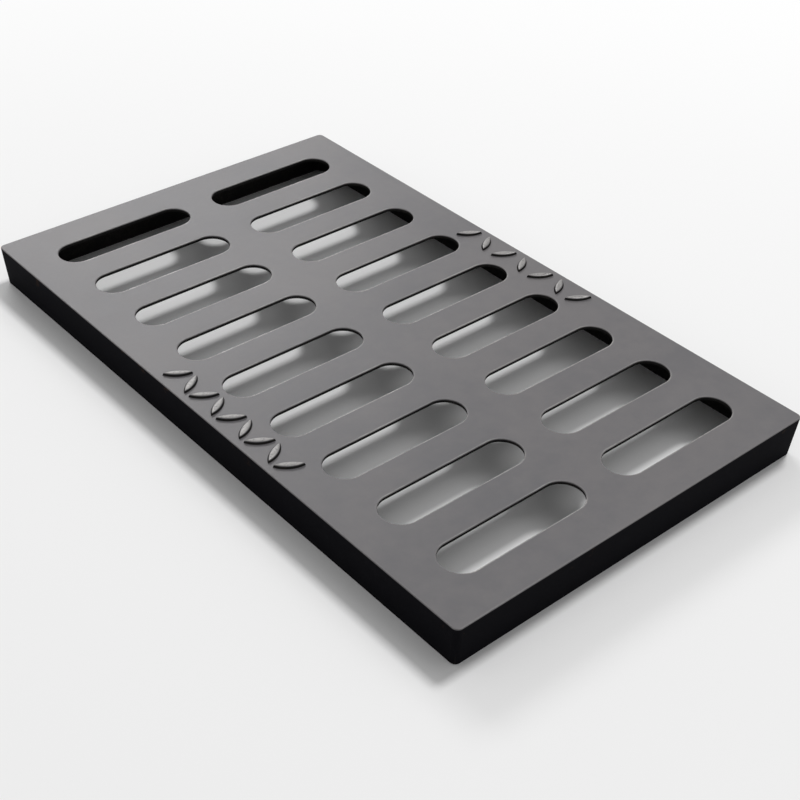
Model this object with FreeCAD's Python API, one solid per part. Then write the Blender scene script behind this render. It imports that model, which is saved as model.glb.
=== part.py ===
import FreeCAD
import Part
import os

# Drain grate: one iron casting that drops into a frame over a gully.
# A slotted tread plate is carried on a plain skirt, with stiffening ribs underneath.
# Frame: +Z up, +Y along the grate, origin under its middle at the foot of the skirt.
# All sizes are in millimetres.

# Outer block
WIDTH = 300.0  # across the top face
LENGTH = 500.0  # along the top face
HEIGHT = 30.0  # foot of the skirt to the top face
SIDE_LEAN = 2.0  # how far each outer side leans in by the time it reaches the foot
CORNER = 4.0  # radius of the upright corners
RIM_ROUND = 0.7  # rounding of the outer edge of the top face

# Tread plate and skirt walls
PLATE = 3.0  # thickness of the tread plate
SKIRT_ROOT = 4.5  # skirt wall where it leaves the plate
SKIRT_FOOT = 2.5  # skirt wall at the foot
INNER_CORNER = 6.0  # radius of the upright corners inside the skirt
ROOT_FILLET = 3.0  # hollow fillet between the skirt and the underside of the plate

# Slots: two columns of rows, round ended, opening downwards so that nothing wedges in them
ROWS = 9
SLOT_WIDTH = 27.0  # between its walls, under the bevelled top edge
SLOT_FLARE = 0.3  # how much each wall leans out by the time it reaches the underside
SLOT_EDGE = 0.6  # bevel that takes the sharpness off each slot's top edge
SPINE = 26.0  # solid band between the two columns
SIDE_BORDER = 27.5  # solid band between the slots and each long edge
END_BORDER = 28.5  # solid band between the slots and each short edge

# Stiffening ribs under the plate, narrowing downwards so that the casting leaves its mould
BAR_RIB_ROOT = 6.0  # rib under each bar, where it leaves the plate
BAR_RIB_CREST = 4.0
BAR_RIB_DEPTH = 6.5
SPINE_RIB_ROOT = 7.0  # rib under the spine, where it leaves the plate
SPINE_RIB_CREST = 5.0
SPINE_RIB_DEPTH = 9.5

# Raised tread marks: pointed ovals, each slanted the other way from the one beside it
MARK_LENGTH = 20.0
MARK_WIDTH = 6.5
MARK_RELIEF = 2.0  # height above the top face
MARK_DRAFT = 0.7  # how much each flank leans in over that height
MARK_SLANT = 32.0  # degrees from square across the border
LEFT_MARKS = 9
LEFT_MARK_PITCH = 15.0
LEFT_MARK_CENTRE = -25.0  # middle of the row along the grate
RIGHT_MARKS = 7
RIGHT_MARK_PITCH = 19.0
RIGHT_MARK_CENTRE = -7.0

# Places that follow from the sizes
UNDERSIDE = HEIGHT - PLATE
SLOT_LENGTH = (WIDTH - SPINE) / 2 - SIDE_BORDER
SLOT_CENTRE = (SPINE + SLOT_LENGTH) / 2
ROW_PITCH = (LENGTH - 2 * END_BORDER - SLOT_WIDTH) / (ROWS - 1)
BORDER_CENTRE = (WIDTH - SIDE_BORDER) / 2

X_AXIS = FreeCAD.Vector(1, 0, 0)
Y_AXIS = FreeCAD.Vector(0, 1, 0)
Z_AXIS = FreeCAD.Vector(0, 0, 1)
ORIGIN = FreeCAD.Vector(0, 0, 0)
TINY = 1e-6


def tapered_block(low_size, high_size, low, high):
    """A four-sided block between two heights, with its own width and length at each."""
    low_x, low_y = low_size[0] / 2, low_size[1] / 2
    high_x, high_y = high_size[0] / 2, high_size[1] / 2
    lying = Part.makeWedge(-low_x, low, -low_y, -high_y, -high_x, low_x, high, low_y, high_y, high_x)
    return lying.rotated(ORIGIN, X_AXIS, 90)


def inset_size(margin):
    """Width and length of the top face, less a margin on every side."""
    return WIDTH - 2 * margin, LENGTH - 2 * margin


def upright_edges(block):
    """The edges of a block that climb from its foot to its top."""
    return [edge for edge in block.Edges if edge.BoundBox.ZLength > block.BoundBox.ZLength / 2]


def edges_at(shape, height):
    """The edges of a shape that lie level at a height."""
    level = [edge for edge in shape.Edges if edge.BoundBox.ZLength < TINY]
    return [edge for edge in level if abs(edge.BoundBox.ZMin - height) < TINY]


def outer_block():
    """The outside of the grate: leaning sides, rounded corners and a softened top edge."""
    block = tapered_block(inset_size(SIDE_LEAN), inset_size(0), 0, HEIGHT)
    block = block.makeFillet(CORNER, upright_edges(block))
    return block.makeFillet(RIM_ROUND, edges_at(block, HEIGHT))


def hollow():
    """The space inside the skirt, with its upright corners and the edge of its roof rounded."""
    at_foot = SIDE_LEAN + SKIRT_FOOT
    at_roof = SIDE_LEAN * PLATE / HEIGHT + SKIRT_ROOT
    space = tapered_block(inset_size(at_foot), inset_size(at_roof), 0, UNDERSIDE)
    space = space.makeFillet(INNER_CORNER, upright_edges(space))
    return space.makeFillet(ROOT_FILLET, edges_at(space, UNDERSIDE))


def rib(root, crest, depth, length):
    """A rib along Y that hangs from the underside and narrows downwards."""
    corners = [(-root / 2, UNDERSIDE), (root / 2, UNDERSIDE)]
    corners += [(crest / 2, UNDERSIDE - depth), (-crest / 2, UNDERSIDE - depth)]
    points = [FreeCAD.Vector(x, -length / 2, z) for x, z in corners]
    return Part.Face(Part.makePolygon(points + points[:1])).extrude(Y_AXIS * length)


def ribs():
    """One rib along the spine and one across under each bar, all long enough to meet the skirt."""
    spine_rib = rib(SPINE_RIB_ROOT, SPINE_RIB_CREST, SPINE_RIB_DEPTH, LENGTH)
    bar_rib = rib(BAR_RIB_ROOT, BAR_RIB_CREST, BAR_RIB_DEPTH, WIDTH).rotated(ORIGIN, Z_AXIS, 90)
    bars = range(ROWS - 1)
    places = [Y_AXIS * ((bar - (ROWS - 2) / 2) * ROW_PITCH) for bar in bars]
    return spine_rib.multiFuse([bar_rib.translated(place) for place in places])


def slot():
    """One slot's space about the origin: a drafted groove with half a cone on each end."""
    half_low = SLOT_WIDTH / 2 + SLOT_FLARE
    half_high = SLOT_WIDTH / 2
    half_run = (SLOT_LENGTH - SLOT_WIDTH) / 2
    corners = [(-half_low, UNDERSIDE), (half_low, UNDERSIDE), (half_high, HEIGHT), (-half_high, HEIGHT)]
    points = [FreeCAD.Vector(-half_run, y, z) for y, z in corners]
    groove = Part.Face(Part.makePolygon(points + points[:1])).extrude(X_AXIS * 2 * half_run)
    end_centre = FreeCAD.Vector(half_run, 0, UNDERSIDE)
    half_cone = Part.makeCone(half_low, half_high, PLATE, end_centre, Z_AXIS, 180)
    right_end = half_cone.rotated(end_centre, Z_AXIS, -90)
    left_end = right_end.rotated(ORIGIN, Z_AXIS, 180)
    return groove.multiFuse([right_end, left_end]).removeSplitter()


def slots():
    """Both columns of slots, each in its place."""
    pattern = slot()
    rows = [(row - (ROWS - 1) / 2) * ROW_PITCH for row in range(ROWS)]
    return [pattern.translated(FreeCAD.Vector(x, y, 0)) for x in (-SLOT_CENTRE, SLOT_CENTRE) for y in rows]


def slot_edges(body):
    """The top edges of the slots: the level edges of the top face that lie inside its borders."""
    limit_x = WIDTH / 2 - SIDE_BORDER + TINY
    limit_y = LENGTH / 2 - END_BORDER + TINY
    level = [(edge, edge.CenterOfMass) for edge in edges_at(body, HEIGHT)]
    return [edge for edge, middle in level if abs(middle.x) < limit_x and abs(middle.y) < limit_y]


def tread_mark():
    """A pointed oval about the origin on the top face: what two offset cones have in common."""
    radius = (MARK_LENGTH ** 2 + MARK_WIDTH ** 2) / (4 * MARK_WIDTH)
    offset = radius - MARK_WIDTH / 2
    sunk = PLATE / 2
    foot_radius = radius + MARK_DRAFT * sunk / MARK_RELIEF
    crest_radius = radius - MARK_DRAFT
    places = [FreeCAD.Vector(0, side * offset, HEIGHT - sunk) for side in (-1, 1)]
    cones = [Part.makeCone(foot_radius, crest_radius, sunk + MARK_RELIEF, place, Z_AXIS) for place in places]
    return cones[0].common(cones[1])


def mark_row(x, count, pitch, centre):
    """A row of tread marks along one border, slanted alternately."""
    leaning = [tread_mark().rotated(ORIGIN, Z_AXIS, slant) for slant in (-MARK_SLANT, MARK_SLANT)]
    places = [centre + (index - (count - 1) / 2) * pitch for index in range(count)]
    return [leaning[index % 2].translated(FreeCAD.Vector(x, y, 0)) for index, y in enumerate(places)]


def grate():
    """The whole casting."""
    body = outer_block().cut(hollow().cut(ribs())).cut(slots())
    body = body.makeChamfer(SLOT_EDGE, slot_edges(body))
    marks = mark_row(-BORDER_CENTRE, LEFT_MARKS, LEFT_MARK_PITCH, LEFT_MARK_CENTRE)
    marks += mark_row(BORDER_CENTRE, RIGHT_MARKS, RIGHT_MARK_PITCH, RIGHT_MARK_CENTRE)
    return body.multiFuse(marks).removeSplitter().Solids[0]


casting = grate()
print("valid:", casting.isValid(), "faces:", len(casting.Faces), "volume cm3:", round(casting.Volume / 1000, 2))
os.makedirs("parts", exist_ok=True)
casting.exportStep("parts/grate.step")
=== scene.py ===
import math
import bmesh
import bpy
from mathutils import Matrix, Vector


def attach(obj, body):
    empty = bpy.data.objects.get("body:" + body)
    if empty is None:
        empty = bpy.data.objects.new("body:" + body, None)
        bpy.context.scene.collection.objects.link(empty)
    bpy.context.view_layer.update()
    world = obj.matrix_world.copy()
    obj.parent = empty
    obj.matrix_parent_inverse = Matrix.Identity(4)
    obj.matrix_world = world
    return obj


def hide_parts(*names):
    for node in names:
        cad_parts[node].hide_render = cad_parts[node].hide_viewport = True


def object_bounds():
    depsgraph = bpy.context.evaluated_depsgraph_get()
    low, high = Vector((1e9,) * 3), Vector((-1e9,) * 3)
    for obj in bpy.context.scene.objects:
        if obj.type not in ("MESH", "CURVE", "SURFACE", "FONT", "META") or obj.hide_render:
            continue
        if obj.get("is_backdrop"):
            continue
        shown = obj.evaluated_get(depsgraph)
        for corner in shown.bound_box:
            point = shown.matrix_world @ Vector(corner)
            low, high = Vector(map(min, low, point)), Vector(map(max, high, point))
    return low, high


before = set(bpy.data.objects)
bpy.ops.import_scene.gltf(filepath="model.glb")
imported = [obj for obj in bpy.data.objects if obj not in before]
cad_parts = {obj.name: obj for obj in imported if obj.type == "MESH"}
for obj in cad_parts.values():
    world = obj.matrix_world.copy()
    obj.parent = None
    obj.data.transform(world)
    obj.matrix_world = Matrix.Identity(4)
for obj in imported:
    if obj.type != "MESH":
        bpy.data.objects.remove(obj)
cad_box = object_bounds()

# Slotted block
# The iron casting before its underside is hollowed: a flat slab, pierced by two columns of round-ended slots
# that open out downwards, with sides that lean in towards the foot so that it leaves the sand mould.
MM = 0.001
NEAR = 0.01 * MM
STEEP = 0.3
WIDTH = 300 * MM
LENGTH = 500 * MM
HEIGHT = 30 * MM
PLATE = 3 * MM
SIDE_LEAN = 2 * MM
CORNER = 4 * MM
RIM_ROUND = 0.7 * MM
FOOT_ROUND = 0.5 * MM
SPINE = 26 * MM
SIDE_BORDER = 27.5 * MM
END_BORDER = 28.5 * MM
ROWS = 9
SLOT_WIDTH = 27 * MM
SLOT_FLARE = 0.3 * MM
SLOT_ROUND = 0.9 * MM
SLOT_LENGTH = (WIDTH - SPINE) / 2 - SIDE_BORDER
SLOT_CENTRE = (SPINE + SLOT_LENGTH) / 2
HALF_RUN = (SLOT_LENGTH - SLOT_WIDTH) / 2
ROW_PITCH = (LENGTH - 2 * END_BORDER - SLOT_WIDTH) / (ROWS - 1)
ROW_PLACES = [(row - (ROWS - 1) / 2) * ROW_PITCH for row in range(ROWS)]
CELL_END = ROW_PITCH * ROWS / 2
CORNER_FACETS = 8
EDGE_FACETS = 4
FOOT_FACETS = 2
END_FACETS = 24
CELL_LONG_CUTS = 21
CELL_SHORT_CUTS = 10
RUN_CUTS = CELL_LONG_CUTS + CELL_SHORT_CUTS + 2 - END_FACETS


def select_where(kind, test):
    """In edit mode, select just the vertices, edges or faces that pass a test."""
    bpy.ops.mesh.select_mode(type=kind)
    bpy.ops.mesh.select_all(action="DESELECT")
    work = bmesh.from_edit_mesh(bpy.context.edit_object.data)
    parts = {"VERT": work.verts, "EDGE": work.edges, "FACE": work.faces}[kind]
    for part in parts:
        if test(part):
            part.select_set(True)
    work.select_flush_mode()
    bmesh.update_edit_mesh(bpy.context.edit_object.data)


def open_new():
    """The primitive just added, with its place and size in its mesh, open in edit mode."""
    bpy.ops.object.transform_apply(location=True, rotation=True, scale=True)
    bpy.ops.object.mode_set(mode="EDIT")
    return bpy.context.object


def middle(edge):
    """Half way along an edge."""
    return (edge.verts[0].co + edge.verts[1].co) / 2


def level(edge, height):
    """Whether an edge lies level at a height."""
    return all(abs(vert.co.z - height) < NEAR for vert in edge.verts)


def upright(edge):
    """Whether an edge climbs from the foot of the block to its top."""
    return abs(edge.verts[0].co.z - edge.verts[1].co.z) > HEIGHT / 2


def meets_wall(edge):
    """Whether a face on either side of an edge is steep."""
    return any(abs(face.normal.z) < STEEP for face in edge.link_faces)


def on_outline(point, inset=0):
    """Whether a point lies on the block's outline, or outside it, once that is drawn in by an inset."""
    return abs(point.x) > WIDTH / 2 - inset - NEAR or abs(point.y) > LENGTH / 2 - inset - NEAR


def at_corner(point, inset):
    """Whether a point lies by one of the block's four corners."""
    return abs(point.x) > WIDTH / 2 - inset - NEAR and abs(point.y) > LENGTH / 2 - inset - NEAR


def in_slot_foot(point, slot_x, slot_y):
    """Whether a point lies at the foot of the block, in or on the slot with its middle at a place."""
    in_length = abs(point.x - slot_x) < SLOT_LENGTH / 2 + NEAR
    in_width = abs(point.y - slot_y) < SLOT_WIDTH / 2 + NEAR
    return point.z < NEAR and in_length and in_width


def face_up():
    """In edit mode, with everything selected, turn a flat sheet upwards."""
    sheet = bmesh.from_edit_mesh(bpy.context.edit_object.data)
    if sum(face.normal.z for face in sheet.faces) < 0:
        bpy.ops.mesh.flip_normals()


def round_edges(test, radius, facets):
    """In edit mode, round off the edges that pass a test."""
    select_where("EDGE", test)
    bpy.ops.mesh.bevel(offset=radius, segments=facets, affect="EDGES", clamp_overlap=False)


def apply_modifier(piece, kind, **settings):
    """Add a modifier to a piece, set it and apply it."""
    modifier = piece.modifiers.new(kind.title(), kind)
    for name, value in settings.items():
        setattr(modifier, name, value)
    bpy.context.view_layer.objects.active = piece
    bpy.ops.object.modifier_apply(modifier=modifier.name)


def repeat_rows(piece, count, **settings):
    """Repeat a piece along the grate, one row's pitch apart."""
    apply_modifier(piece, "ARRAY", count=count, use_relative_offset=False, use_constant_offset=True,
                   constant_offset_displace=(0, ROW_PITCH, 0), **settings)


# One slot, drawn out from a circle, in its own oblong of plate with as many edges as the slot has
bpy.ops.object.select_all(action="DESELECT")
bpy.ops.mesh.primitive_circle_add(vertices=2 * END_FACETS, radius=SLOT_WIDTH / 2,
                                  location=(SLOT_CENTRE, ROW_PLACES[0], HEIGHT),
                                  rotation=(0, 0, math.pi / (2 * END_FACETS)))
casting = open_new()
casting.name = "grate_casting"
for side in (-1, 1):
    select_where("VERT", lambda vert: (vert.co.x - SLOT_CENTRE) * side > 0)
    bpy.ops.transform.translate(value=(side * HALF_RUN, 0, 0))
select_where("EDGE", lambda edge: edge.calc_length() > HALF_RUN)
bpy.ops.mesh.subdivide(number_cuts=RUN_CUTS)
cell_centre = (WIDTH / 4, ROW_PLACES[0], HEIGHT)
bpy.ops.mesh.select_all(action="DESELECT")
bpy.ops.mesh.primitive_plane_add(size=1, location=cell_centre)
bpy.ops.transform.resize(value=(WIDTH / 2, ROW_PITCH, 1), center_override=cell_centre)
bpy.ops.mesh.delete(type="ONLY_FACE")
for length, cuts in ((WIDTH / 2, CELL_LONG_CUTS), (ROW_PITCH, CELL_SHORT_CUTS)):
    select_where("EDGE", lambda edge: abs(edge.calc_length() - length) < NEAR)
    bpy.ops.mesh.subdivide(number_cuts=cuts)
bpy.ops.mesh.select_all(action="SELECT")
bpy.ops.mesh.bridge_edge_loops()
bpy.ops.object.mode_set(mode="OBJECT")

# That oblong repeated along the grate and mirrored over the spine, then given its end borders and depth
repeat_rows(casting, ROWS, use_merge_vertices=True, merge_threshold=NEAR)
apply_modifier(casting, "MIRROR", use_mirror_merge=True, merge_threshold=NEAR)
bpy.ops.object.mode_set(mode="EDIT")
for side in (-1, 1):
    to_end = (0, side * (LENGTH / 2 - CELL_END), 0)
    select_where("EDGE", lambda edge: edge.is_boundary and middle(edge).y * side > CELL_END - NEAR)
    bpy.ops.mesh.extrude_edges_move(TRANSFORM_OT_translate={"value": to_end})
bpy.ops.mesh.select_all(action="SELECT")
bpy.ops.mesh.normals_make_consistent(inside=False)
face_up()
bpy.ops.object.mode_set(mode="OBJECT")
apply_modifier(casting, "SOLIDIFY", thickness=HEIGHT, offset=-1)

# The flare of the slots, the lean of the sides, and the rounds of the corners, rim, slots and foot
bpy.ops.object.mode_set(mode="EDIT")
flare = SLOT_FLARE * HEIGHT / PLATE
flared = (1 + 2 * flare / SLOT_LENGTH, 1 + 2 * flare / SLOT_WIDTH, 1)
for slot_x in (-SLOT_CENTRE, SLOT_CENTRE):
    for slot_y in ROW_PLACES:
        select_where("VERT", lambda vert: in_slot_foot(vert.co, slot_x, slot_y))
        bpy.ops.transform.resize(value=flared, center_override=(slot_x, slot_y, 0))
drawn_in = (1 - 2 * SIDE_LEAN / WIDTH, 1 - 2 * SIDE_LEAN / LENGTH, 1)
select_where("VERT", lambda vert: vert.co.z < NEAR and on_outline(vert.co))
bpy.ops.transform.resize(value=drawn_in, center_override=(0, 0, 0))
round_edges(lambda edge: upright(edge) and at_corner(middle(edge), SIDE_LEAN), CORNER, CORNER_FACETS)
round_edges(lambda edge: level(edge, HEIGHT) and meets_wall(edge) and on_outline(middle(edge), CORNER),
            RIM_ROUND, EDGE_FACETS)
round_edges(lambda edge: level(edge, HEIGHT) and meets_wall(edge) and not on_outline(middle(edge), CORNER),
            SLOT_ROUND, EDGE_FACETS)
round_edges(lambda edge: level(edge, 0) and meets_wall(edge) and on_outline(middle(edge), SIDE_LEAN + CORNER),
            FOOT_ROUND, FOOT_FACETS)
bpy.ops.object.mode_set(mode="OBJECT")

# Hollow underside and ribs
# Below the plate the slab is cored out to a skirt that thickens towards its root. A rib is left under
# each bar and a deeper one along the spine, all with the round corners that a sand core leaves.
UNDERSIDE = HEIGHT - PLATE
SKIRT_ROOT = 4.5 * MM
SKIRT_FOOT = 2.5 * MM
INNER_CORNER = 6 * MM
INNER_CORNER_FACETS = 6
ROOT_FILLET = 3 * MM
CORE_DROP = 5 * MM
BAR_RIB = {"root": 6 * MM, "crest": 4 * MM, "depth": 6.5 * MM}
SPINE_RIB = {"root": 7 * MM, "crest": 5 * MM, "depth": 9.5 * MM}
RIB_FILLET = 2 * MM
RIB_ENDS_DRAWN_IN = 0.99
CREST_ROUND = 1.2 * MM
UNDER_ROUND = 0.6 * MM
SMALL_FACETS = 3
FLANGE = PLATE / 4
FLANGE_OVERHANG = 1.5 * RIB_FILLET
FLANGE_SUNK = 0.05 * MM
ALIGNED = 0.9
FLAT = 0.99


def along(edge, axis):
    """Whether an edge runs along an axis."""
    run = edge.verts[1].co - edge.verts[0].co
    return abs(run[axis]) > ALIGNED * run.length


def rib_bar(length, root, crest, depth):
    """A rib along X that hangs from a thin flange, filleted under it and rounded at its crest.

    It is left in edit mode with everything selected, to be put in its place.
    """
    flange_width = root + 2 * FLANGE_OVERHANG
    seat = UNDERSIDE + FLANGE_SUNK
    bpy.ops.object.select_all(action="DESELECT")
    bpy.ops.mesh.primitive_cube_add(size=1, location=(0, 0, seat + FLANGE / 2),
                                    scale=(length, flange_width, FLANGE))
    bar = open_new()
    select_where("FACE", lambda face: face.normal.z < -FLAT)
    bpy.ops.mesh.extrude_region_move(TRANSFORM_OT_translate={"value": (0, 0, 0)})
    bpy.ops.transform.resize(value=(RIB_ENDS_DRAWN_IN, root / flange_width, 1), center_override=(0, 0, seat))
    bpy.ops.mesh.extrude_region_move(TRANSFORM_OT_translate={"value": (0, 0, UNDERSIDE - depth - seat)})
    bpy.ops.transform.resize(value=(1, crest / root, 1), center_override=(0, 0, seat))
    round_edges(lambda edge: along(edge, 0) and level(edge, UNDERSIDE - depth), CREST_ROUND, SMALL_FACETS)
    round_edges(lambda edge: along(edge, 0) and level(edge, seat) and abs(middle(edge).y) < root / 2 + NEAR,
                RIB_FILLET, EDGE_FACETS)
    bpy.ops.mesh.select_all(action="SELECT")
    return bar


def combine(piece, tool, operation):
    """Cut a piece by a tool, or join the two into one, and take the tool away."""
    apply_modifier(piece, "BOOLEAN", operation=operation, object=tool, solver="EXACT")
    bpy.data.objects.remove(tool, do_unlink=True)


def rims_opening(edge):
    """Whether an edge divides the level underside of the plate from a wall that climbs from it."""
    on_level = any(face.normal.z < -FLAT for face in edge.link_faces)
    return level(edge, UNDERSIDE) and on_level and meets_wall(edge)


# The core, which narrows upwards to leave the skirt its taper and is rounded where the skirt has fillets
root_inset = SIDE_LEAN * PLATE / HEIGHT + SKIRT_ROOT
foot_inset = SIDE_LEAN + SKIRT_FOOT
low_inset = foot_inset - (root_inset - foot_inset) * CORE_DROP / UNDERSIDE
low_size = (WIDTH - 2 * low_inset, LENGTH - 2 * low_inset)
roof_size = (WIDTH - 2 * root_inset, LENGTH - 2 * root_inset)
bpy.ops.object.select_all(action="DESELECT")
bpy.ops.mesh.primitive_cube_add(size=1, location=(0, 0, (UNDERSIDE - CORE_DROP) / 2),
                                scale=(low_size[0], low_size[1], UNDERSIDE + CORE_DROP))
core = open_new()
select_where("VERT", lambda vert: vert.co.z > 0)
bpy.ops.transform.resize(value=(roof_size[0] / low_size[0], roof_size[1] / low_size[1], 1),
                         center_override=(0, 0, UNDERSIDE))
round_edges(lambda edge: along(edge, 2), INNER_CORNER, INNER_CORNER_FACETS)
round_edges(lambda edge: level(edge, UNDERSIDE), ROOT_FILLET, EDGE_FACETS)
bpy.ops.object.mode_set(mode="OBJECT")

# The ribs, which are cut from the core so that the core leaves them standing, and the slots' lower edges
bars = rib_bar(WIDTH, **BAR_RIB)
bpy.ops.transform.translate(value=(0, ROW_PLACES[0] + ROW_PITCH / 2, 0))
bpy.ops.object.mode_set(mode="OBJECT")
repeat_rows(bars, ROWS - 1)
spine = rib_bar(LENGTH, **SPINE_RIB)
bpy.ops.transform.rotate(value=math.pi / 2, orient_axis="Z", center_override=(0, 0, 0))
bpy.ops.object.mode_set(mode="OBJECT")
combine(core, bars, "DIFFERENCE")
combine(core, spine, "DIFFERENCE")
combine(casting, core, "DIFFERENCE")
bpy.ops.object.mode_set(mode="EDIT")
round_edges(rims_opening, UNDER_ROUND, SMALL_FACETS)
bpy.ops.object.mode_set(mode="OBJECT")

# Tread marks
# A row of raised pointed ovals on each long border, cast with the plate. Each slants the other way from
# the one beside it, has a small fillet round its foot and a crown that feet have worn smooth.
MARK_LENGTH = 20 * MM
MARK_WIDTH = 6.5 * MM
MARK_SLANT = math.radians(32)
MARK_SUNK = 0.15 * MM
MARK_TIP = 0.7 * MM
MARK_FACETS = 160
FILLET_SPREAD = 0.3 * MM
FILLET_POINT_SPREAD = 0.6 * MM
MARK_STEPS_MM = [(0.3, 0.18), (0.2, 0.27), (0.15, 0.45), (0.2, 0.42),
                 (0.3, 0.33), (0.45, 0.27), (0.6, 0.16), (0.7, 0.07)]
BORDER_CENTRE = (WIDTH - SIDE_BORDER) / 2
MARK_ROWS = [{"x": -BORDER_CENTRE, "count": 9, "pitch": 15 * MM, "centre": -25 * MM},
             {"x": BORDER_CENTRE, "count": 7, "pitch": 19 * MM, "centre": -7 * MM}]
SHARP_ANGLE = math.radians(35)

# One mark: a cap cut from a circle, mirrored to a pointed oval and drawn up in steps of an inset and a rise
mark_radius = (MARK_LENGTH ** 2 + MARK_WIDTH ** 2) / (4 * MARK_WIDTH)
bpy.ops.object.select_all(action="DESELECT")
bpy.ops.mesh.primitive_circle_add(vertices=MARK_FACETS, radius=mark_radius + FILLET_SPREAD, fill_type="NGON",
                                  location=(0, MARK_WIDTH / 2 - mark_radius, HEIGHT - MARK_SUNK))
mark = open_new()
bpy.ops.mesh.select_all(action="SELECT")
bpy.ops.mesh.bisect(plane_co=(0, 0, 0), plane_no=(0, 1, 0), clear_inner=True)
bpy.ops.object.mode_set(mode="OBJECT")
apply_modifier(mark, "MIRROR", use_axis=(False, True, False), use_mirror_merge=True, merge_threshold=NEAR)
bpy.ops.object.mode_set(mode="EDIT")
bpy.ops.mesh.select_all(action="SELECT")
bpy.ops.mesh.normals_make_consistent(inside=False)
bpy.ops.mesh.dissolve_faces()
tip = max(vert.co.x for vert in bmesh.from_edit_mesh(mark.data).verts)
select_where("VERT", lambda vert: abs(vert.co.x) > tip - NEAR)
bpy.ops.mesh.bevel(offset=MARK_TIP, segments=SMALL_FACETS, affect="VERTICES")
select_where("FACE", lambda face: True)
face_up()
span = [MARK_LENGTH + 2 * FILLET_POINT_SPREAD, MARK_WIDTH + 2 * FILLET_SPREAD]
for inset, rise in MARK_STEPS_MM:
    smaller = [size - 2 * inset * MM for size in span]
    bpy.ops.mesh.extrude_region_move(TRANSFORM_OT_translate={"value": (0, 0, rise * MM)})
    bpy.ops.transform.resize(value=(smaller[0] / span[0], smaller[1] / span[1], 1), center_override=(0, 0, 0))
    span = smaller
select_where("EDGE", lambda edge: edge.is_boundary)
bpy.ops.mesh.edge_face_add()
bpy.ops.mesh.select_all(action="SELECT")
bpy.ops.mesh.normals_make_consistent(inside=False)
bpy.ops.object.mode_set(mode="OBJECT")

# The two rows of marks, made one with the plate
marks = []
for row in MARK_ROWS:
    for index in range(row["count"]):
        twin = mark.copy()
        twin.data = mark.data.copy()
        bpy.context.collection.objects.link(twin)
        twin.location = (row["x"], row["centre"] + (index - (row["count"] - 1) / 2) * row["pitch"], 0)
        twin.rotation_euler = (0, 0, MARK_SLANT if index % 2 else -MARK_SLANT)
        marks.append(twin)
bpy.data.objects.remove(mark, do_unlink=True)
bpy.ops.object.select_all(action="DESELECT")
for twin in marks:
    twin.select_set(True)
bpy.context.view_layer.objects.active = marks[0]
bpy.ops.object.transform_apply(location=True, rotation=True, scale=True)
bpy.ops.object.join()
combine(casting, bpy.context.object, "UNION")

# The whole casting, with its seams closed, its faces turned outwards and its rounds shaded smooth
bpy.ops.object.select_all(action="DESELECT")
casting.select_set(True)
bpy.context.view_layer.objects.active = casting
bpy.ops.object.mode_set(mode="EDIT")
bpy.ops.mesh.select_all(action="SELECT")
bpy.ops.mesh.remove_doubles(threshold=NEAR / 2)
bpy.ops.mesh.normals_make_consistent(inside=False)
bpy.ops.object.mode_set(mode="OBJECT")
bpy.ops.object.shade_smooth_by_angle(angle=SHARP_ANGLE)
apply_modifier(casting, "WEIGHTED_NORMAL", keep_sharp=True)

# Coat
# The casting is dipped in thin black paint, dull on the walls, dusty inside and rusted where it has chipped
# below the rim. The tread face is satin grey, partly burnished by wheels and feet and partly painted sheen,
# with the marks' flanks left black as painted shade. It is palest on the marks' crowns and in patches along
# the slots, most of all on the near edge of each slot: wear together with painted highlights. The outer
# walls' black is deepened as painted shade.
# The outer walls' two blacks are darker than the paint, as painted shade; the inner blacks are the paint's
# own.
BLACK_AND_PAINTED_SHADE = (0.0035, 0.0034, 0.0046, 1)
DUSTY_BLACK_AND_PAINTED_SHADE = (0.0070, 0.0068, 0.0084, 1)
INNER_BLACK = (0.015, 0.0145, 0.0145, 1)
INNER_DUSTY = (0.034, 0.031, 0.028, 1)
RUST = (0.024, 0.0145, 0.0105, 1)
# The tread face's greys are partly the burnished iron and partly painted sheen.
GREY_DARK = (0.088, 0.085, 0.091, 1)
GREY_PALE = (0.116, 0.109, 0.112, 1)
# Bare iron, which also stands for painted highlights on the edges and crowns.
BARE_IRON_AND_HIGHLIGHT = (0.36, 0.35, 0.335, 1)

# Patterns of the finish, from broad clouds to fine specks, by their grains to the millimetre
CLOUDS = {"scale": 0.012, "detail": 2}
WEAR = {"scale": 0.02, "detail": 2}
CHIPS = {"scale": 0.06, "detail": 5, "roughness": 0.7}
PATCHES = {"scale": 0.09, "detail": 4, "roughness": 0.6}
SAND = {"scale": 0.7, "detail": 3, "roughness": 0.6}
SPECKS = {"scale": 2.2, "detail": 2}

# Levels of a pattern, between 0 and 1, at which what it shows begins and is complete
TONE_LEVELS = (0.3, 0.7)
SPECK_LEVELS = (0.6, 0.8)
DUST_LEVELS = (0.45, 0.75)
CHIP_LEVELS = (0.63, 0.66)
WEAR_LEVELS = (0.35, 0.65)
SAND_LEVELS = (0.2, 0.55)

# Millimetres above the tread face at which each change of finish begins and is complete
CHIP_START = (-9, -4)
FACE_START = (-0.9, -0.3)
# Between these heights the marks' flanks are left black, as painted shade.
FLANK_START = (0.04, 0.3)
FLANK_END = (1.35, 1.75)
CROWN_START = (1.65, 1.92)

# The same in from the rim, out from a slot, across its row and past its straight part, and the bands' wander
RIM_BAND_END = (0.3, 1.2)
INSIDE_START = (2.4, 3.4)
SLOT_BAND_END = (0.5, 1.5)
NEAR_EDGE_HIGHLIGHT_END = (-13.5, -8)
SLOT_END_START = (0, 8)
BAND_WANDER = 1.2

# How bare the worn edges are, and how much barer they are in patches: wear that also paints highlight lines
# along the slots, the rim and the marks' crowns
SLOT_BARE_AND_HIGHLIGHT = 0.12
SLOT_BARER_AND_HIGHLIGHT = 0.25
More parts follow.
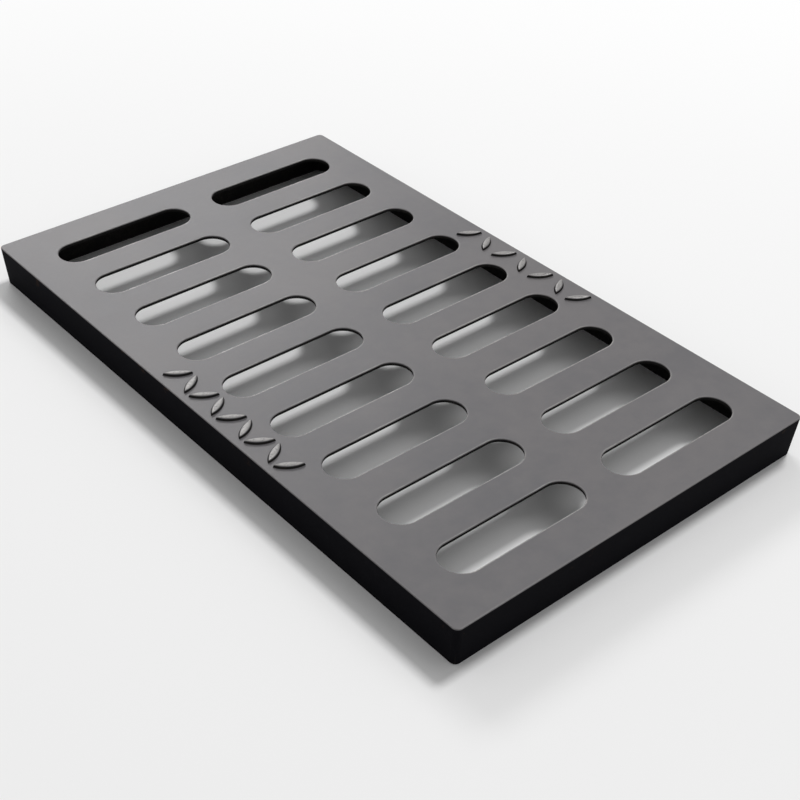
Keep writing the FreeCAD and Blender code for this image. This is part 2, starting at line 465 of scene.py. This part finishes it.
# The near edge of each slot is paled further, as a painted highlight.
NEAR_EDGE_HIGHLIGHT = 0.45
NEAR_EDGE_HIGHLIGHT_PATCHES = 0.25
SLOT_END_SPARED = 0.55
RIM_BARE_AND_HIGHLIGHT = 0.15
CROWN_BARE_AND_HIGHLIGHT = 0.5

# How strongly the patterns and the bare iron change the two finishes
CLOUD_SHARE = 0.6
SPECK_SHADE = 0.3
CHIPS_SPARED_INSIDE = 0.7
BARE_METAL = 0.5
BARE_POLISH = 0.1
WORN_ROUGHNESS = 0.42
WORN_PATCH_SWING = 0.08
WORN_SAND_SWING = 0.1
WORN_SPECULAR = 0.35
PAINT_ROUGHNESS = 0.7
PAINT_PATCH_SWING = 0.2
PAINT_SPECULAR = 0.02
SAND_HEIGHT = 0.6
PATCH_HEIGHT = 0.8
SPECK_HEIGHT = 0.25
RELIEF_STRENGTH = 0.3
RELIEF_DEPTH = 0.12 * MM

# The colour sockets of a Mix node, by number, because its sockets for numbers have the same names
MIX_FIRST = 6
MIX_SECOND = 7
MIX_RESULT = 2


class Wire:
    """A socket in a shader. Sums on wires are written plainly, and add the Math nodes they need."""

    def __init__(self, tree, socket=None):
        self.tree = tree
        self.socket = socket

    def node(self, kind, settings, inputs, output=0):
        """Add a node, set it, fill its sockets with values or wires, and give back one of its outputs."""
        made = self.tree.nodes.new(kind)
        for name, value in settings.items():
            setattr(made, name, value)
        for name, value in inputs.items():
            if isinstance(value, Wire):
                self.tree.links.new(value.socket, made.inputs[name])
            else:
                made.inputs[name].default_value = value
        return Wire(self.tree, made.outputs[output] if made.outputs else None)

    def maths(self, operation, *values):
        """Add a Math node that works on values or wires."""
        return self.node("ShaderNodeMath", {"operation": operation}, dict(enumerate(values)))

    def __add__(self, other):
        return self.maths("ADD", self, other)

    def __sub__(self, other):
        return self.maths("SUBTRACT", self, other)

    def __rsub__(self, other):
        return self.maths("SUBTRACT", other, self)

    def __mul__(self, other):
        return self.maths("MULTIPLY", self, other)

    def __pow__(self, other):
        return self.maths("POWER", self, other)

    def __abs__(self):
        return self.maths("ABSOLUTE", self)

    def __round__(self):
        return self.maths("ROUND", self)

    __radd__ = __add__
    __rmul__ = __mul__


def blank_shader(block):
    """Empty the nodes of a material or a world, and give back a wire to build on."""
    block.use_nodes = True
    block.node_tree.nodes.clear()
    return Wire(block.node_tree)


def lesser(first, second):
    """The smaller of two values."""
    return first.maths("MINIMUM", first, second)


def greater(first, second):
    """The larger of two values."""
    return first.maths("MAXIMUM", first, second)


def climb(value, low, high):
    """A smooth step from 0 at a low value to 1 at a high one."""
    return value.node("ShaderNodeMapRange", {"interpolation_type": "SMOOTHSTEP"},
                      {"Value": value, "From Min": low, "From Max": high})


def blend(amount, first, second):
    """A colour part way from a first to a second."""
    return amount.node("ShaderNodeMix", {"data_type": "RGBA"},
                       {"Factor": amount, MIX_FIRST: first, MIX_SECOND: second}, MIX_RESULT)


def noise(place, scale, detail, roughness=0.5):
    """Soft noise between 0 and 1, so many grains to the millimetre."""
    return place.node("ShaderNodeTexNoise", {}, {"Vector": place, "Scale": scale, "Detail": detail,
                                                 "Roughness": roughness})


def swing(pattern, width):
    """A pattern spread over a width, half of it below zero and half above."""
    return (pattern - 0.5) * width


coat = bpy.data.materials.new("coated_iron")
start = blank_shader(coat)
metres = start.node("ShaderNodeTexCoord", {}, {}, "Object")
place = start.node("ShaderNodeVectorMath", {"operation": "SCALE"}, {0: metres, "Scale": 1 / MM})
x, y, z = [start.node("ShaderNodeSeparateXYZ", {}, {0: place}, axis) for axis in "XYZ"]
cloudy = noise(place, **CLOUDS)
patchy = noise(place, **PATCHES)
sandy = noise(place, **SAND)
specked = noise(place, **SPECKS)

# How far, in millimetres, a spot is above the tread face, out from the nearest slot and in from the rim
above = z - HEIGHT / MM
last_row = (ROWS - 1) / 2
nearest_row = greater(lesser(round(y * (MM / ROW_PITCH)), last_row), -last_row)
across = y - nearest_row * (ROW_PITCH / MM)
beyond = greater(abs(abs(x) - SLOT_CENTRE / MM) - HALF_RUN / MM, 0)
from_slot = (beyond * beyond + across * across) ** 0.5 - SLOT_WIDTH / MM / 2
from_rim = lesser(WIDTH / MM / 2 - abs(x), LENGTH / MM / 2 - abs(y))

# Where the tread face is grey, partly burnished and partly painted sheen, with the marks' flanks left black
# as painted shade, and where it is worn to bare iron or paled as a painted highlight
on_face = climb(above, *FACE_START)
flank = climb(above, *FLANK_START) * (1 - climb(above, *FLANK_END))
tread = on_face * (1 - flank)
uneven = climb(noise(place, **WEAR), *WEAR_LEVELS)
# The near edge of each slot is paled more than the far one, as a painted highlight.
near_edge_highlight = 1 - climb(across, *NEAR_EDGE_HIGHLIGHT_END)
edge_wear_and_highlight = SLOT_BARE_AND_HIGHLIGHT + uneven * SLOT_BARER_AND_HIGHLIGHT + near_edge_highlight * (NEAR_EDGE_HIGHLIGHT + uneven * NEAR_EDGE_HIGHLIGHT_PATCHES)
edge_wear_and_highlight = edge_wear_and_highlight * (1 - climb(beyond, *SLOT_END_START) * SLOT_END_SPARED)
# Bands along the slots and rim and on the marks' crowns: bare wear and painted highlight lines together.
band_wander = swing(patchy, BAND_WANDER)
slot_wear_and_highlight = (1 - climb(from_slot + band_wander, *SLOT_BAND_END)) * edge_wear_and_highlight
rim_wear_and_highlight = (1 - climb(from_rim + band_wander, *RIM_BAND_END)) * RIM_BARE_AND_HIGHLIGHT
crown_wear_and_highlight = climb(above, *CROWN_START) * CROWN_BARE_AND_HIGHLIGHT
bare_and_highlight = greater(greater(slot_wear_and_highlight, rim_wear_and_highlight) * on_face, crown_wear_and_highlight) * climb(sandy, *SAND_LEVELS)

# The greys of the tread face, partly burnished and partly painted sheen, and the blacks of the paint
# elsewhere, deepened on the outer walls as painted shade
grey = blend(climb(cloudy * CLOUD_SHARE + patchy * (1 - CLOUD_SHARE), *TONE_LEVELS), GREY_DARK, GREY_PALE)
grey = blend(climb(specked, *SPECK_LEVELS) * SPECK_SHADE, grey, GREY_DARK)
grey = blend(bare_and_highlight, grey, BARE_IRON_AND_HIGHLIGHT)
dusty = climb((patchy + sandy) * 0.5, *DUST_LEVELS)
inside = climb(from_rim, *INSIDE_START)
# The outer walls take the darker blacks, as painted shade.
black = blend(inside, blend(dusty, BLACK_AND_PAINTED_SHADE, DUSTY_BLACK_AND_PAINTED_SHADE), blend(dusty, INNER_BLACK, INNER_DUSTY))
chipped = climb(noise(place, **CHIPS), *CHIP_LEVELS) * climb(above, *CHIP_START)
black = blend(chipped * (1 - inside * CHIPS_SPARED_INSIDE), black, RUST)

relief = start.node("ShaderNodeBump", {}, {
    "Strength": RELIEF_STRENGTH,
    "Distance": RELIEF_DEPTH,
    "Height": sandy * SAND_HEIGHT + patchy * PATCH_HEIGHT + specked * SPECK_HEIGHT,
})
worn_swing = swing(patchy, WORN_PATCH_SWING) + swing(sandy, WORN_SAND_SWING)
# The grey tread face, partly burnished and partly painted sheen
worn_and_sheen = start.node("ShaderNodeBsdfPrincipled", {}, {
    "Base Color": grey,
    "Roughness": WORN_ROUGHNESS + worn_swing - bare_and_highlight * BARE_POLISH,
    "Metallic": bare_and_highlight * BARE_METAL,
    "Specular IOR Level": WORN_SPECULAR,
    "Normal": relief,
})
painted = start.node("ShaderNodeBsdfPrincipled", {}, {
    "Base Color": black,
    "Roughness": PAINT_ROUGHNESS + swing(patchy, PAINT_PATCH_SWING),
    "Specular IOR Level": PAINT_SPECULAR,
    "Normal": relief,
})
both = start.node("ShaderNodeMixShader", {}, {0: tread, 1: painted, 2: worn_and_sheen})
start.node("ShaderNodeOutputMaterial", {}, {"Surface": both})
casting.data.materials.append(coat)

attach(casting, "root")
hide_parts("grate")

# Floor, light and camera
# A plain pale floor that fades into a white sweep, a softbox behind and to the right, a wider and weaker
# one beyond the far end, and an even surround. The camera stands where the photograph was taken from.
FLOOR_SIZE = 30
FLOOR_TONE = (0.90, 0.90, 0.90, 1)
WHITE = (1, 1, 1, 1)
FADE = (0.35, 1.3)
SURROUND = 0.42
LAMP_DISTANCE = 6
LAMPS = [{"name": "key", "bearing": 8, "rise": 62, "size": (1.2, 1.2), "power": 170},
         {"name": "far", "bearing": 68, "rise": 33, "size": (3.2, 1.3), "power": 110}]
LENS = 65.07
CAMERA_PLACE = (-0.53473, -0.628102, 0.587146)
CAMERA_HEADING = math.radians(-41.822)
CAMERA_DIP = math.radians(36.953)
CAMERA_ROLL = math.radians(2.044)


def seen_white(shader):
    """A wire that is 1 for what the camera sees straight, mirrored or through glass, and 0 for the light."""
    seen = [shader.node("ShaderNodeLightPath", {}, {}, f"Is {kind} Ray")
            for kind in ("Camera", "Glossy", "Transmission")]
    return greater(greater(seen[0], seen[1]), seen[2])


bpy.ops.object.select_all(action="DESELECT")
bpy.ops.mesh.primitive_plane_add(size=FLOOR_SIZE, location=(0, 0, 0))
floor = bpy.context.object
floor.name = "floor"
sweep = bpy.data.materials.new("floor")
ground = blank_shader(sweep)
spot = ground.node("ShaderNodeTexCoord", {}, {}, "Object")
away = ground.node("ShaderNodeVectorMath", {"operation": "LENGTH"}, {0: spot}, "Value")
fade = climb(away, *FADE) * seen_white(ground)
matt = ground.node("ShaderNodeBsdfDiffuse", {}, {"Color": FLOOR_TONE})
glow = ground.node("ShaderNodeEmission", {}, {"Color": WHITE, "Strength": 1})
faded = ground.node("ShaderNodeMixShader", {}, {0: fade, 1: matt, 2: glow})
ground.node("ShaderNodeOutputMaterial", {}, {"Surface": faded})
floor.data.materials.append(sweep)
floor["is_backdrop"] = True

for lamp in LAMPS:
    light = bpy.data.lights.new(lamp["name"], "AREA")
    light.shape = "RECTANGLE"
    light.size, light.size_y = lamp["size"]
    light.energy = lamp["power"]
    softbox = bpy.data.objects.new(lamp["name"], light)
    bearing = math.radians(lamp["bearing"])
    rise = math.radians(lamp["rise"])
    towards = Vector((math.cos(rise) * math.cos(bearing), math.cos(rise) * math.sin(bearing), math.sin(rise)))
    softbox.location = towards * LAMP_DISTANCE
    softbox.rotation_euler = towards.to_track_quat("Z", "Y").to_euler()
    bpy.context.collection.objects.link(softbox)

world = bpy.data.worlds.new("surround")
bpy.context.scene.world = world
sky = blank_shader(world)
strength = SURROUND + seen_white(sky) * (1 - SURROUND)
shine = sky.node("ShaderNodeBackground", {}, {"Color": WHITE, "Strength": strength})
sky.node("ShaderNodeOutputWorld", {}, {"Surface": shine})

camera_data = bpy.data.cameras.new("camera")
camera_data.lens = LENS
camera = bpy.data.objects.new("camera", camera_data)
bpy.context.collection.objects.link(camera)
turn = Matrix.Rotation(CAMERA_HEADING, 4, "Z") @ Matrix.Rotation(math.pi / 2 - CAMERA_DIP, 4, "X")
turn = turn @ Matrix.Rotation(CAMERA_ROLL, 4, "Z")
camera.matrix_world = Matrix.Translation(CAMERA_PLACE) @ turn
bpy.context.scene.camera = camera
bpy.context.scene.view_settings.view_transform = "Standard"
({"cad": [list(corner) for corner in cad_box],
           "visual": [list(corner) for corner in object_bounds()]})
